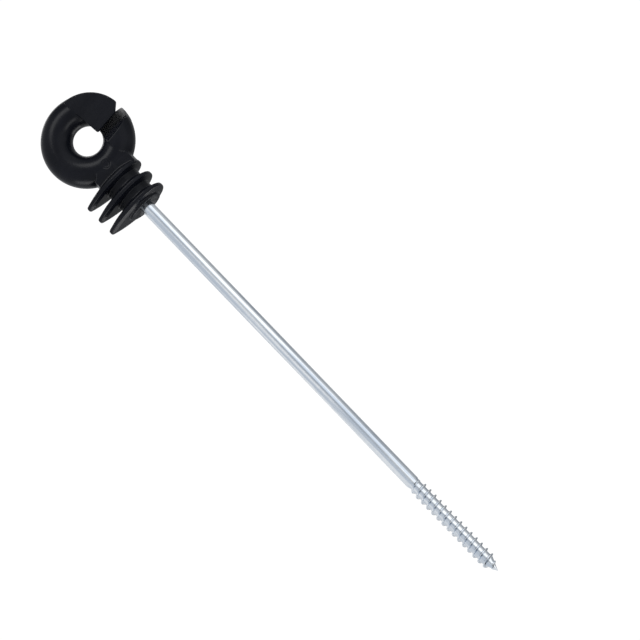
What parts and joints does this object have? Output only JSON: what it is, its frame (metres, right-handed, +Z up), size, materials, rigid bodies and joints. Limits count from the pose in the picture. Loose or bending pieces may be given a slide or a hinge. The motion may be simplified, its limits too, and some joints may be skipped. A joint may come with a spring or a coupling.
{
  "type": "fence insulator",
  "caption": "Long-shank electric fence insulator: slotted plastic rope ring with rain sheds moulded on a steel rod with a wood thread.",
  "frame": {"origin": "on the rod's axis at the start of the wood thread, which lies in the surface of the post when driven home", "axes": "+X along the rod the way the screw is driven; +Z up, towards the ring's slot; the ring's eye runs along Y"},
  "size_m": [0.2347, 0.017, 0.0342],
  "materials": {
    "head_plastic": "semi-gloss black moulded polyethylene",
    "zinc_steel": "bright zinc plated, faint draw lines"
  },
  "bodies": {
    "root": {"ring_head": "head_plastic", "screw_shank": "zinc_steel"}
  },
  "joints": []
}
